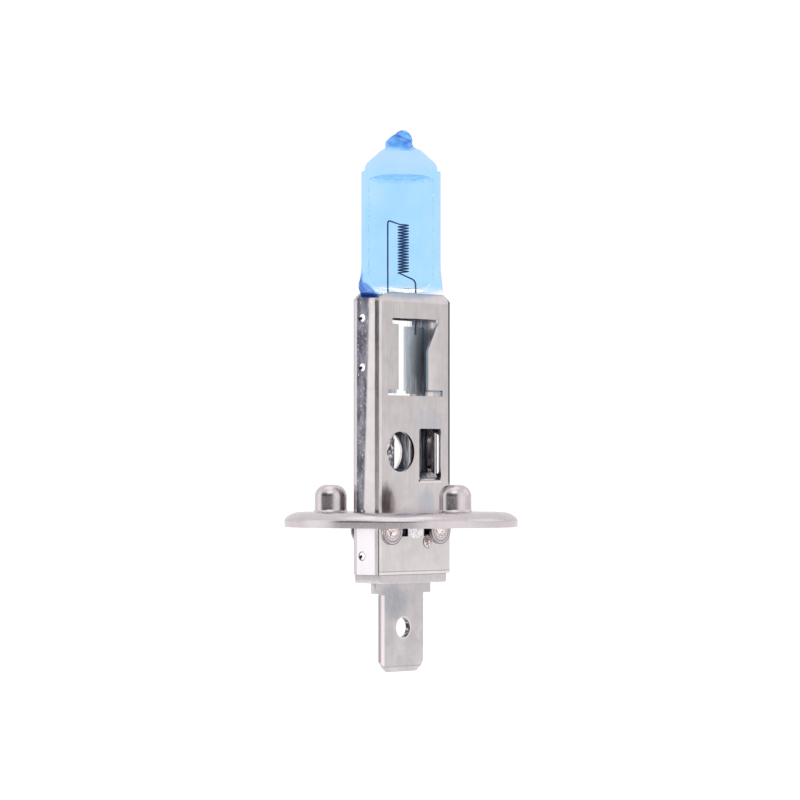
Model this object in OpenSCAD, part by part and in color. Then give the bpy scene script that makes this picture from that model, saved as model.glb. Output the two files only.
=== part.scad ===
// Single-filament halogen headlight bulb with a three-boss focus flange.
// Millimetres, +Z towards the glass tip. The origin is where the bulb's axis
// meets the reference plane, which is the plane of the three boss tops.
// -Y is the wide face with the round hole, -X and +X are the narrow sides.

/* [Glass] */
// Outside diameter of the quartz tube
tube_d = 9.9; // [9.6:0.1:10.2]
// Wall thickness of the quartz tube
tube_wall = 0.9; // [0.8:0.05:1]
// Height where the tube starts to close into the dome
shoulder_z = 39.05; // [38.6:0.05:39.6]
// Height of the glass tip
tip_z = 44.3; // [44:0.1:44.6]
// Width of the flat pinch seal
pinch_w = 10.9; // [10.6:0.05:10.9]
// Thickness of the flat pinch seal between its side ribs
pinch_t = 3.4; // [3.3:0.05:3.4]
// Thickness of the pinch seal's side ribs
rib_t = 4.1; // [3.9:0.05:4.1]
// Height of the lower end of the pinch seal
pinch_bottom_z = 9.5; // [9.2:0.1:9.8]

/* [Filament] */
// Diameter of the tungsten wire
wire_d = 0.2; // [0.16:0.02:0.2]
// Outside diameter of the coil
coil_d = 1.45; // [1.3:0.05:1.6]
// Height of the first turn of the coil
coil_bottom_z = 26.4; // [26.2:0.1:26.6]
// Height of the last turn of the coil
coil_top_z = 32.5; // [32.3:0.1:32.7]
// Number of turns
coil_turns = 17; // [14:1:18]
// Distance of each leg from the bulb's axis
leg_x = 2.55; // [2.4:0.05:2.7]

/* [Seal foils and leads] */
// Width of each molybdenum foil
foil_w = 3.4; // [3:0.1:3.6]
// Thickness of each molybdenum foil
foil_t = 0.05; // [0.04:0.01:0.06]
// Height of the lower end of the foils
foil_bottom_z = 11.4; // [11:0.1:11.8]
// Height of the upper end of the foils
foil_top_z = 19.8; // [19.4:0.1:20]
// Diameter of the outer lead wires
lead_d = 0.8; // [0.7:0.05:0.8]

/* [Sheet metal holder] */
// Width of the holder across its narrow sides
holder_w = 13.5; // [13.4:0.05:13.6]
// Depth of the holder from wide face to wide face
holder_t = 5; // [4.95:0.05:5.05]
// Sheet thickness of both half shells
sheet = 0.4; // [0.35:0.05:0.4]
// Height of the lower end of the half shells
holder_bottom_z = -11.1; // [-11.3:0.1:-10.9]
// Height of the upper end of the narrow sides
holder_side_z = 23; // [22.9:0.05:23.1]
// Diameter of the round access hole
access_d = 5; // [4.6:0.1:5.2]

/* [Focus flange] */
// Radius of the flange rim
flange_r = 14.55; // [14.2:0.05:14.8]
// Depth of the flange's upper face below the boss tops
boss_h = 3.4; // [3.2:0.1:3.6]
// Diameter of each boss
boss_d = 3.95; // [3.75:0.05:4]
// Diameter of the circle through the boss centres
boss_circle_d = 18.2; // [18.1:0.1:18.6]
// Distance from the axis to the flat on the rim
flat_y = 12.3; // [12:0.1:12.8]

/* [Terminal] */
// Width of the terminal blade
blade_w = 7.86; // [7.6:0.02:8]
// Thickness of the terminal blade
blade_t = 0.8; // [0.7:0.05:0.9]
// Height of the blade's free end
blade_end_z = -23.3; // [-23.6:0.1:-23]
// Diameter of the hole in the blade
blade_hole_d = 2.48; // [2.2:0.02:2.6]
// Height of the hole in the blade
blade_hole_z = -17.8; // [-18.2:0.1:-17.4]

/* [Hidden] */

$fn = 64;
corner_fn = 16;
leg_fn = 24;
blend_fn = 32;
lead_fn = 48;
rim_fn = 128;
bead_fn = 200;
eps = 0.02;
// how far a cutter reaches past the face that it cuts
over = 1;

// glass
tube_r = tube_d / 2;
bore_r = tube_r - tube_wall;
round_z = 26.6;
flat_z = 23.8;
cavity_bottom_z = 24.9;
cavity_top_z = 38.6;
cavity_top_round = 0.75;
cavity_floor = [7.4, 1.6];
cavity_floor_round = 0.7;
shoulder_step = 0.4;
shoulder_r = 1.3;
cone_deg = 48;
cone_top_z = 41.7;
tip_r = 1.7;
pinch_round = 0.4;
rib_w = 0.85;
rib_top_z = 22.5;
blend_w = pinch_w + 0.1;
blend_t = pinch_t + 0.1;
web_w = 5.3;
web_cut = 0.6;
web_top_z = 21.4;
web_bottom_z = 10.3;
seal_gap = 0.01;

// filament
wire_r = wire_d / 2;
wire_sides = 6;
coil_r = coil_d / 2 - wire_r;
coil_x = 0.2;
coil_y = -0.2;
coil_steps = 10;
leg_y = -foil_t / 2 - wire_r;
leg_foot_z = foil_top_z - 1;
leg_bend_r = 0.35;
long_leg_top_z = coil_top_z + 0.3;
short_leg_top_z = coil_bottom_z - 0.5;

// leads
lead_r = lead_d / 2;
lead_y = foil_t / 2 + lead_r;
lead_top_z = foil_bottom_z + 1;
lead_sides = 12;
// how far each lead runs straight down, and its bends after that as X, Y, Z
live_straight_z = 1.9;
live_bends = [[2.35, 0.7, 1.2], [1.15, 0.85, -0.6]];
live_end_x = 0.8;
live_weld_z = -1.2;
live_end_z = -2.4;
ground_straight_z = 9.2;
ground_bends = [[-2.85, 0.1, 8.5], [-3.7, -1.5, 7.2]];
ground_x = -3.9;
ground_weld_z = 6.6;
ground_end_z = 0.2;
lead_bead_r = 0.6;
stem_w = 2.87;
stem_top_z = 2;

// holder
wall_y = holder_t / 2;
holder_round = 0.7;
overlap_edge_y = 1.16;
rear_flange_y = -1.9;
lip_r = 1.6;
lip_deg = 46;
lip_z = 22.7;
lip_side = 0.6;
lip_inset = [1.9, 0.5];
lip_end_h = 0.5;
lip_slope_h = 1.05;
window_w = 10;
window_bottom_z = 11.05;
window_top_z = 20.65;
flap_w = 2.33;
flap_deg = 9.4;
flap_bottom_z = 11.8;
flap_top_z = 19.9;
slant_w = 0.9;
slant_h = 3.1;
window_neck_w = 8.4;
access_x = -2.73;
access_z = 4.1;
slot_x = [0.67, 4.68];
slot_z = [0.65, 7];
slot_round = 0.3;
tongue_l = 2.1;
tongue_deg = 29;
port_spans = [[-2.6, -1.4], [1.5, 2.6]];
port_z = [-6.4, -4.1];
side_slot_y = [-1.5, 0.1];
side_oval_w = 2.35;
side_oval_h = 5.3;
side_oval_y = -0.12;
side_oval_z = 3.9;
weld_dimples = [[20.6, 1.45], [14.5, 1.3], [-3.5, 1.2], [-8.8, 1.15]];
dimple_depth = 0.15;
dimple_y = 0.3;

// flange
flange_top_z = -boss_h;
flange_sheet = 0.6;
flange_h = 1.85;
flange_bottom_z = flange_top_z - flange_h;
rim_wall_h = 0.7;
rim_edge_r = 0.6;
opening_gap = 0.1;
opening_round = 0.9;
lug_w = 3.6;
lug_t = 0.25;
lug_x = 4.4;
lug_z = -5.6;
boss_flat_r = 0.55;
boss_foot = 0.45;
boss_angles = [-90, 30, 150];
bead_h = 0.35;
bead_r = 1.3;
weld_z = lug_z + 0.3;
small_bead_r = 0.85;
small_bead_x = 2.15;
small_bead_z = -7.1;

// insulator and terminal
plate_w = 12.4;
plate_t = 4.6;
plate_h = 1.1;
plate_round = 0.5;
plate_edge_r = 0.6;
plug_h = 2.4;
plug_gap = 0.1;
plug_round = 0.3;
shoulder_w = 10.1;
shoulder_bottom_z = -13.5;
blade_chamfer = 1.3;
bevel_w = 0.7;
bevel_depth = 0.2;
bevel_slope = bevel_depth / bevel_w;

// points on an arc, from angle a to angle b
function arc(x, y, r, a, b, n = 8) =
    [for (i = [0:n]) [x + r * cos(a + (b - a) * i / n), y + r * sin(a + (b - a) * i / n)]];

function unit(v) = v / norm(v);

// Direction of a route at its point i
function heading(p, i) = unit(p[min(i + 1, len(p) - 1)] - p[max(i - 1, 0)]);

// The part of v that is square to the direction t
function square_to(v, t) = unit(v - (v * t) * t);

// A closed tube with a few flat sides along a route of points
module sweep(route, r, sides) {
    n = len(route);
    normals = [
        for (i = 0, v = square_to([0, 1, 0], heading(route, 0)); i < n;
             i = i + 1, v = i < n ? square_to(v, heading(route, i)) : v) v
    ];
    ring_points = [
        for (i = [0:n - 1], k = [0:sides - 1])
            let (side = cross(heading(route, i), normals[i]), a = 360 * k / sides)
            route[i] + r * (cos(a) * normals[i] + sin(a) * side)
    ];
    walls = [
        for (i = [0:n - 2], k = [0:sides - 1])
            let (next = (k + 1) % sides)
            [i * sides + k, i * sides + next, (i + 1) * sides + next, (i + 1) * sides + k]
    ];
    first_cap = [for (k = [sides - 1:-1:0]) k];
    last_cap = [for (k = [0:sides - 1]) (n - 1) * sides + k];
    polyhedron(ring_points, concat([first_cap], walls, [last_cap]), convexity = 10);
}

// Rectangle with round corners, centred
module round_rect(w, d, r) {
    square([w - 2 * r, d], center = true);
    square([w, d - 2 * r], center = true);
    for (x = [-1, 1], y = [-1, 1])
        translate([x * (w / 2 - r), y * (d / 2 - r)]) circle(r = r);
}

// ---- glass ----

module tube_profile(r, start_z, end_z, round_r, cone_end_z) {
    arc_end_r = r - round_r * (1 - cos(cone_deg));
    arc_end_z = end_z + round_r * sin(cone_deg);
    cone_end_r = arc_end_r - (cone_end_z - arc_end_z) * tan(cone_deg);
    polygon(concat(
        [[0, start_z], [r, start_z]],
        arc(r - round_r, end_z, round_r, 0, cone_deg),
        [[cone_end_r, cone_end_z], [0, cone_end_z]]
    ));
}

// The flat seal, with a thicker rib along each narrow side that ends below the holder's lips
module pinch_slab() {
    linear_extrude(flat_z - pinch_bottom_z) round_rect(pinch_w, pinch_t, pinch_round);
    linear_extrude(rib_top_z - pinch_bottom_z)
        for (side = [-1, 1])
            translate([side * (pinch_w - rib_w) / 2, 0]) round_rect(rib_w, rib_t, pinch_round);
}

module quartz_envelope() {
    color("lightskyblue")
    difference() {
        union() {
            translate([0, 0, round_z]) cylinder(r = tube_r, h = shoulder_z - round_z);
            rotate_extrude()
                tube_profile(tube_r - shoulder_step, shoulder_z - over, shoulder_z, shoulder_r, cone_top_z);
            translate([0, 0, tip_z - tip_r]) sphere(r = tip_r);
            hull() {
                translate([0, 0, round_z - eps]) cylinder(r = tube_r, h = 2 * eps, $fn = blend_fn);
                translate([0, 0, flat_z - eps]) linear_extrude(2 * eps)
                    round_rect(blend_w, blend_t, pinch_round, $fn = corner_fn);
            }
            translate([0, 0, pinch_bottom_z]) pinch_slab();
        }
        glass_cavity();
        for (side = [-1, 1])
            translate([-web_w / 2, side * pinch_t / 2 - web_cut, web_bottom_z])
                cube([web_w, 2 * web_cut, web_top_z - web_bottom_z]);
        for (side = [-1, 1]) {
            foil_at(side);
            translate([side * leg_x, leg_y, leg_foot_z])
                cylinder(r = wire_r + seal_gap, h = cavity_bottom_z - leg_foot_z + over, $fn = leg_fn);
            translate([side * leg_x, lead_y, pinch_bottom_z - over])
                cylinder(r = lead_r + seal_gap, h = lead_top_z - pinch_bottom_z + over, $fn = lead_fn);
        }
    }
}

// The gas space around the filament
module glass_cavity() {
    rotate_extrude()
        polygon(concat(
            [[0, round_z - eps], [bore_r, round_z - eps]],
            arc(bore_r - cavity_top_round, cavity_top_z - cavity_top_round, cavity_top_round, 0, 90),
            [[0, cavity_top_z]]
        ));
    hull() {
        translate([0, 0, round_z - eps]) cylinder(r = bore_r, h = 2 * eps, $fn = blend_fn);
        translate([0, 0, cavity_bottom_z]) linear_extrude(eps)
            round_rect(cavity_floor.x, cavity_floor.y, cavity_floor_round, $fn = corner_fn);
    }
}

// ---- filament, foils and leads ----

function coil_point(t) =
    let (a = 180 + 360 * t, z = coil_top_z + (coil_bottom_z - coil_top_z) * t / coil_turns)
    [coil_x + coil_r * cos(a), coil_y + coil_r * sin(a), z];

// A quarter-like bend in the XZ plane, from angle a to b around a centre
function leg_bend(x, z, a, b) =
    [for (p = arc(x, z, leg_bend_r, a, b, 4)) [p.x, leg_y, p.y]];

module filament() {
    coil = [for (i = [0:coil_turns * coil_steps]) coil_point(i / coil_steps)];
    route = concat(
        [[-leg_x, leg_y, leg_foot_z]],
        leg_bend(-leg_x + leg_bend_r, long_leg_top_z - leg_bend_r, 180, 75),
        coil,
        leg_bend(leg_x - leg_bend_r, short_leg_top_z - leg_bend_r, 80, 0),
        [[leg_x, leg_y, leg_foot_z]]
    );
    color("dimgray") sweep(route, wire_r, wire_sides);
}

module foil_at(side) {
    translate([side * leg_x - foil_w / 2, -foil_t / 2, foil_bottom_z])
        cube([foil_w, foil_t, foil_top_z - foil_bottom_z]);
}

module molybdenum_foil_live() {
    color("gray") foil_at(1);
}

module molybdenum_foil_ground() {
    color("gray") foil_at(-1);
}

module outer_lead_live() {
    stem_y = blade_t / 2 + lead_r;
    color("silver") sweep(concat(
        [[leg_x, lead_y, lead_top_z], [leg_x, lead_y, live_straight_z]],
        live_bends,
        [[live_end_x, stem_y, live_weld_z], [live_end_x, stem_y, live_end_z]]
    ), lead_r, lead_sides);
}

module outer_lead_ground() {
    wall_inner_y = -wall_y + sheet + lead_r;
    color("silver") sweep(concat(
        [[-leg_x, lead_y, lead_top_z], [-leg_x, lead_y, ground_straight_z]],
        ground_bends,
        [[ground_x, wall_inner_y, ground_weld_z], [ground_x, wall_inner_y, ground_end_z]]
    ), lead_r, lead_sides);
}

// ---- sheet metal holder ----

// Cross-section of one U-shaped half shell: its wide wall is at -Y
module shell_section(w, leg_end_y) {
    intersection() {
        difference() {
            round_rect(w, holder_t, holder_round);
            round_rect(w - 2 * sheet, holder_t - 2 * sheet, holder_round - sheet);
        }
        translate([-w / 2, -wall_y]) square([w, wall_y + leg_end_y]);
    }
}

// A plate that stands in the wide wall, from an outline in X and Z
module wall_plate(outline) {
    translate([0, -wall_y + sheet, 0]) rotate([90, 0, 0]) linear_extrude(sheet) polygon(outline);
}

// The lip that curls inwards at the top of a wall of this width. Its ends slope,
// one of them more than the other.
module curled_lip(w) {
    reach = 3 * lip_r;
    half_base = w / 2 - lip_side;
    left_top = -half_base + lip_inset[0];
    right_top = half_base - lip_inset[1];
    intersection() {
        translate([-half_base, -wall_y + lip_r, lip_z]) rotate([0, 90, 0])
            difference() {
                cylinder(r = lip_r, h = 2 * half_base);
                translate([0, 0, -over]) cylinder(r = lip_r - sheet, h = 2 * (half_base + over));
            }
        translate([half_base, -wall_y + lip_r, lip_z]) rotate([90, 0, -90])
            linear_extrude(2 * half_base)
                polygon([
                    [0, 0], [reach, 0], [reach, reach * sin(lip_deg)],
                    [reach * cos(lip_deg), reach * sin(lip_deg)]
                ]);
        translate([0, 0, lip_z]) rotate([90, 0, 0]) linear_extrude(holder_t)
            polygon([
                [-half_base, 0], [half_base, 0], [half_base, lip_end_h],
                [right_top, lip_slope_h], [right_top, 2 * lip_r],
                [left_top, 2 * lip_r], [left_top, lip_slope_h], [-half_base, lip_end_h]
            ]);
    }
}

module window_cut() {
    translate([-window_w / 2, -wall_y - over, window_bottom_z])
        cube([window_w, 2 * over, flap_top_z - window_bottom_z]);
    translate([-window_neck_w / 2, -wall_y - over, flap_top_z - eps])
        cube([window_neck_w, 2 * over, window_top_z - flap_top_z + eps]);
}

// A flap that is hinged at the window's side and leans in to grip the pinch
module grip_flap(outline) {
    translate([-window_w / 2, -wall_y, 0]) rotate([0, 0, flap_deg]) translate([0, wall_y, 0])
        wall_plate(outline);
}

module square_flap() {
    grip_flap([[0, flap_bottom_z], [flap_w, flap_bottom_z], [flap_w, flap_top_z], [0, flap_top_z]]);
}

module slanted_flap() {
    grip_flap([
        [0, flap_bottom_z], [flap_w, flap_bottom_z], [flap_w, flap_top_z - slant_h],
        [slant_w, flap_top_z], [0, flap_top_z]
    ]);
}

// The wide wall's upper part: window, two grip flaps and the curled lip
module gripping_shell(w, leg_end_y) {
    difference() {
        union() {
            translate([0, 0, holder_bottom_z]) linear_extrude(lip_z - holder_bottom_z)
                shell_section(w, leg_end_y);
            translate([0, 0, lip_z - eps]) linear_extrude(holder_side_z - lip_z + eps)
                difference() {
                    shell_section(w, leg_end_y);
                    translate([lip_side - w / 2, -wall_y - over]) square([w - 2 * lip_side, 3 * over]);
                }
            curled_lip(w);
        }
        window_cut();
    }
    square_flap();
    mirror([1, 0, 0]) slanted_flap();
}

module front_shell() {
    slot_w = slot_x[1] - slot_x[0];
    slot_h = slot_z[1] - slot_z[0];
    color("gainsboro") {
        difference() {
            gripping_shell(holder_w, overlap_edge_y);
            translate([access_x, 0, access_z]) rotate([90, 0, 0]) cylinder(d = access_d, h = holder_w);
            translate([slot_x[0] + slot_w / 2, 0, slot_z[0] + slot_h / 2]) rotate([90, 0, 0])
                linear_extrude(holder_w) round_rect(slot_w, slot_h, slot_round);
            for (span = port_spans)
                translate([span[0], -wall_y - over, port_z[0]])
                    cube([span[1] - span[0], 2 * over, port_z[1] - port_z[0]]);
            translate([holder_w / 2 - over, side_slot_y[0], slot_z[0]])
                cube([2 * over, side_slot_y[1] - side_slot_y[0], slot_h]);
            for (side = [-1, 1], spot = weld_dimples)
                translate([side * (holder_w / 2 - dimple_depth + dimple_ball(spot[1])), dimple_y, spot[0]])
                    sphere(r = dimple_ball(spot[1]));
        }
        translate([slot_x[0], -wall_y, slot_z[0] - sheet]) rotate([tongue_deg, 0, 0])
            cube([slot_w, tongue_l, sheet]);
    }
}

// Radius of the ball that leaves a dimple of this width and the common depth
function dimple_ball(d) = (d * d / 4 + dimple_depth * dimple_depth) / (2 * dimple_depth);

module rear_shell() {
    inner_w = holder_w - 2 * sheet;
    color("lightgray")
    difference() {
        rotate([0, 0, 180]) gripping_shell(inner_w, -rear_flange_y);
        translate([0, 0, access_z]) rotate([-90, 0, 0]) cylinder(d = access_d, h = holder_w);
        translate([0, side_oval_y, side_oval_z]) rotate([90, 0, 90])
            linear_extrude(holder_w) oval(side_oval_w, side_oval_h);
    }
}

module oval(w, h) {
    square([w, h - w], center = true);
    for (end = [-1, 1])
        translate([0, end * (h - w) / 2]) circle(d = w);
}

// ---- focus flange ----

// A disc whose rim slopes down in a wide arc, then turns into a short upright wall
module flange_disc() {
    edge_x = flange_r - rim_edge_r;
    edge_z = flange_bottom_z + rim_wall_h;
    crown_r = (flange_top_z - edge_z - rim_edge_r * sin(45)) / (1 - sin(45));
    crown_x = edge_x + (rim_edge_r - crown_r) * cos(45);
    crown_z = flange_top_z - crown_r;
    rotate_extrude($fn = rim_fn)
        polygon(concat(
            [[0, flange_top_z - flange_sheet], [0, flange_top_z]],
            arc(crown_x, crown_z, crown_r, 90, 45),
            arc(edge_x, edge_z, rim_edge_r, 39, 0, 6),
            [[flange_r, flange_bottom_z], [flange_r - flange_sheet, flange_bottom_z], [edge_x, edge_z]],
            arc(crown_x, crown_z, crown_r - flange_sheet, 50, 90)
        ));
}

// A pressed boss with a coined flat on its top and a hollow below
module boss() {
    r = boss_d / 2;
    top_round = r - boss_flat_r;
    difference() {
        rotate_extrude()
            polygon(concat(
                [[0, flange_top_z - flange_sheet], [0, 0]],
                arc(boss_flat_r, -top_round, top_round, 90, 0),
                arc(r + boss_foot, flange_top_z + boss_foot, boss_foot, 180, 270),
                [[r + boss_foot, flange_top_z - flange_sheet]]
            ));
        boss_hollow();
    }
}

module boss_hollow() {
    r = boss_d / 2 - flange_sheet;
    translate([0, 0, flange_bottom_z]) cylinder(r = r, h = -flange_bottom_z - flange_sheet - r);
    translate([0, 0, -flange_sheet - r]) sphere(r = r);
}

module at_bosses() {
    for (a = boss_angles)
        rotate([0, 0, a]) translate([boss_circle_d / 2, 0, 0]) children();
}

// The four round-ended lugs that are welded to the holder's wide faces
module lugs() {
    for (x = [-lug_x, lug_x], side = [-1, 1]) {
        translate([x, side * (wall_y + lug_t / 2), 0]) {
            translate([-lug_w / 2, -lug_t / 2, lug_z])
                cube([lug_w, lug_t, flange_top_z - flange_sheet / 2 - lug_z]);
            translate([0, 0, lug_z]) rotate([90, 0, 0])
                cylinder(d = lug_w, h = lug_t, center = true);
        }
    }
}

module focus_flange() {
    color("rosybrown") {
        difference() {
            flange_disc();
            at_bosses() boss_hollow();
            translate([0, 0, flange_bottom_z]) linear_extrude(-flange_bottom_z)
                round_rect(holder_w + 2 * opening_gap, holder_t + 2 * opening_gap, opening_round);
            translate([-flange_r, flat_y, flange_bottom_z - over])
                cube([2 * flange_r, flange_r, flange_h + 2 * over]);
        }
        at_bosses() boss();
        lugs();
    }
}

// A low round bead of weld metal that lies on a face looking along -Y
module bead(r) {
    ball = (r * r + bead_h * bead_h) / (2 * bead_h);
    difference() {
        translate([0, ball - bead_h, 0]) sphere(r = ball, $fn = bead_fn);
        translate([-2 * ball, 0, -2 * ball]) cube(4 * ball);
    }
}

module flange_welds() {
    color("tan") {
        for (x = [-lug_x, lug_x], turn = [0, 180])
            rotate([0, 0, turn]) translate([x, -wall_y - lug_t, weld_z]) bead(bead_r);
        translate([small_bead_x, -wall_y, small_bead_z]) bead(small_bead_r);
    }
}

// The nuggets that join the outer leads to the terminal's stem and to the front shell
module lead_welds() {
    color("tan") {
        translate([ground_x, -wall_y + sheet, ground_end_z - lead_bead_r])
            rotate([0, 0, 180]) bead(lead_bead_r);
        translate([live_end_x, blade_t / 2, live_end_z - lead_bead_r])
            rotate([0, 0, 180]) bead(lead_bead_r);
    }
}

// ---- insulator and terminal ----

module ceramic_insulator() {
    plug_w = holder_w - 4 * sheet - 2 * plug_gap;
    plug_t = holder_t - 2 * sheet - 2 * plug_gap;
    color("whitesmoke")
    difference() {
        union() {
            translate([0, 0, holder_bottom_z - plate_h]) insulator_plate();
            translate([0, 0, holder_bottom_z - eps]) linear_extrude(plug_h + eps)
                round_rect(plug_w, plug_t, plug_round);
        }
        translate([-stem_w / 2, -blade_t / 2, holder_bottom_z - plate_h - over])
            cube([stem_w, blade_t, plate_h + plug_h + 2 * over]);
    }
}

// A plate whose lower edges are rounded on the two narrow sides
module insulator_plate() {
    inner_w = plate_w - 2 * plate_edge_r;
    intersection() {
        linear_extrude(plate_h) round_rect(plate_w, plate_t, plate_round);
        translate([0, plate_t / 2, 0]) rotate([90, 0, 0]) linear_extrude(plate_t) {
            translate([-plate_w / 2, plate_edge_r]) square([plate_w, plate_h - plate_edge_r]);
            translate([-inner_w / 2, 0]) square([inner_w, plate_h]);
            for (side = [-1, 1])
                translate([side * inner_w / 2, plate_edge_r]) circle(r = plate_edge_r);
        }
    }
}

module terminal_tab() {
    shoulder_top_z = holder_bottom_z - plate_h;
    outline = [
        [-shoulder_w / 2, shoulder_top_z], [-shoulder_w / 2, shoulder_bottom_z],
        [-blade_w / 2, shoulder_bottom_z], [-blade_w / 2, blade_end_z + blade_chamfer],
        [-blade_w / 2 + blade_chamfer, blade_end_z], [blade_w / 2 - blade_chamfer, blade_end_z],
        [blade_w / 2, blade_end_z + blade_chamfer], [blade_w / 2, shoulder_bottom_z],
        [shoulder_w / 2, shoulder_bottom_z], [shoulder_w / 2, shoulder_top_z],
        [stem_w / 2, shoulder_top_z], [stem_w / 2, stem_top_z],
        [-stem_w / 2, stem_top_z], [-stem_w / 2, shoulder_top_z]
    ];
    color("silver")
    difference() {
        translate([0, blade_t / 2, 0]) rotate([90, 0, 0]) linear_extrude(blade_t) polygon(outline);
        translate([0, 0, blade_hole_z]) rotate([90, 0, 0])
            cylinder(d = blade_hole_d, h = 2 * blade_t, center = true);
        for (face = [-1, 1]) {
            for (side = [-1, 1])
                edge_bevel(side * blade_w / 2, face);
            end_bevel(face);
        }
    }
}

// A shallow coined bevel along one long edge of the blade
module edge_bevel(edge_x, face) {
    side = sign(edge_x);
    outer_x = edge_x + side * over;
    translate([0, 0, blade_end_z - over]) linear_extrude(shoulder_bottom_z - blade_end_z + over)
        polygon([
            [edge_x - side * bevel_w, face * blade_t / 2], [outer_x, face * blade_t],
            [outer_x, face * (blade_t / 2 - bevel_slope * (bevel_w + over))]
        ]);
}

// The same bevel across the blade's free end
module end_bevel(face) {
    translate([-blade_w / 2, 0, 0]) rotate([90, 0, 90]) linear_extrude(blade_w)
        polygon([
            [face * blade_t / 2, blade_end_z + bevel_w], [face * blade_t, blade_end_z - over],
            [face * (blade_t / 2 - bevel_slope * (bevel_w + over)), blade_end_z - over]
        ]);
}

quartz_envelope();
filament();
molybdenum_foil_live();
molybdenum_foil_ground();
outer_lead_live();
outer_lead_ground();
front_shell();
rear_shell();
focus_flange();
flange_welds();
lead_welds();
ceramic_insulator();
terminal_tab();
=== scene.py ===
"""Halogen headlight bulb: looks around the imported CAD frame."""
import math

import bmesh
import bpy
from mathutils import Matrix, Vector, noise


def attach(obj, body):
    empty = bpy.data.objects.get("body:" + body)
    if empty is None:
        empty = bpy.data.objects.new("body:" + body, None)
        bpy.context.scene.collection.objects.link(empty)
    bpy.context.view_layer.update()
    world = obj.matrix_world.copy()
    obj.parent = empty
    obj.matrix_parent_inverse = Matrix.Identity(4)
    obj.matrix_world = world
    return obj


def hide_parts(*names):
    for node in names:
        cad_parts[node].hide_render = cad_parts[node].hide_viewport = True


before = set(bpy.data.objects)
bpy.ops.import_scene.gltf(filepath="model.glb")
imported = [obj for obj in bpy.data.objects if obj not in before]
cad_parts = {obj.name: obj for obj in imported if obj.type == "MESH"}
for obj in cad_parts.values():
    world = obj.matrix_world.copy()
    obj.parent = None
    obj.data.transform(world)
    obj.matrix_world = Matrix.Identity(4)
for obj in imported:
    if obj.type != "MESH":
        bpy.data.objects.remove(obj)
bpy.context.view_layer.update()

MM = 0.001
ROOT = "root"

# ---------------------------------------------------------------- glass, in millimetres
TUBE_R = 4.95
BORE_R = TUBE_R - 0.9
ROUND_Z = 25.6                  # the cup's faces have reached the tube's roundness here
FLAT_Z = 23.9                   # the cup meets the flat pinch here
SIDE_BLEND_Z = (24.3, 27.6)     # where the pinch's width turns into the tube's
SHOULDER_Z = 39.05
SHOULDER_STEP = 0.4
SHOULDER_ROUND = 1.3
CONE_DEG = 48
CONE_TOP_Z = 41.72
TIP_Z = 44.28

PINCH_BOTTOM_Z = 9.5
PINCH_HALF_W = 5.45
PINCH_HALF_T = 1.7
FLARE_HALF_W = 5.9              # the pinch widens to this on its way up to the cup
FLARE_Z = 22.6
RIB_HALF_T = 2.05
RIB_TOP_Z = 22.5
RIB_START = (0.8, 0.88)         # where the ribs rise, as a part of the half width
CORNER_R = 0.4
WEB_HALF_W = 2.65
WEB_CUT = 0.6
WEB_Z = (10.3, 21.4)
PINCH_ROW = 0.3

CAVITY_BOTTOM_Z = 24.45
CAVITY_ROUND_Z = 25.8
CAVITY_TOP_Z = 38.45
CAVITY_ROUND = 0.75
CAVITY_FLAT = (3.7, 0.6)        # half width and half thickness of the gas space's bottom
CAVITY_ROOF = ((3.1, 0.03), (2.6, 0.08), (1.8, 0.14), (1.0, 0.18), (0.3, 0.2))  # radius and rise

# depths of the blue coat: 0 is bare quartz, 1 a deep navy
TUBE_COAT = 0.4
WING_COAT = 0.9

FACE_POINTS = 46
SIDE_POINTS = 14
RING_POINTS = 2 * (FACE_POINTS + SIDE_POINTS)
CUP_ROWS_Z = (25.8, 26.1, 26.4, 26.7, 27.0, 27.3, 27.6)
TUBE_ROWS_Z = (28, 28.5, 29, 30, 31, 32, 33, 34, 35, 36, 37, 38, 38.6, SHOULDER_Z - 0.12)
BORE_ROWS_Z = (26.5, 28, 30, 32, 34, 36, 37.5, CAVITY_TOP_Z - CAVITY_ROUND)

# ---------------------------------------------------------------- wires, in millimetres
WIRE_R = 0.1
COIL_WIRE_R = 0.085
COIL_R = 0.65
COIL_LEAN_DEG = -4.5
COIL_X, COIL_Y = 0.2, -0.2
COIL_Z = (26.4, 32.5)
COIL_TURNS = 17
POINTS_PER_TURN = 28
LEG_X = 2.55
LEG_Y = -0.125
LEG_FOOT_Z = 18.8
UPPER_BEND_R = 0.35
LOWER_BEND_R = 0.8
LEAD_WALL_Y = -2.05             # the crushed lead lies on the inside of the front wall

# the ground lead's route: X, Y, Z, then half its width along X and half its thickness along Y
GROUND_ROUTE = [
    (-2.55, 0.425, 12.35, 0.4, 0.4), (-2.55, 0.425, 9.3, 0.4, 0.4), (-2.85, 0.1, 8.5, 0.4, 0.4),
    (-3.55, -1.2, 7.4, 0.45, 0.36), (-3.9, -1.72, 6.5, 0.68, 0.3), (-3.9, -1.74, 5.0, 0.8, 0.26),
    (-3.95, -1.74, 3.0, 0.82, 0.26), (-3.9, -1.74, 1.2, 0.78, 0.26), (-3.9, -1.73, 0.22, 0.6, 0.26)
]

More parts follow.
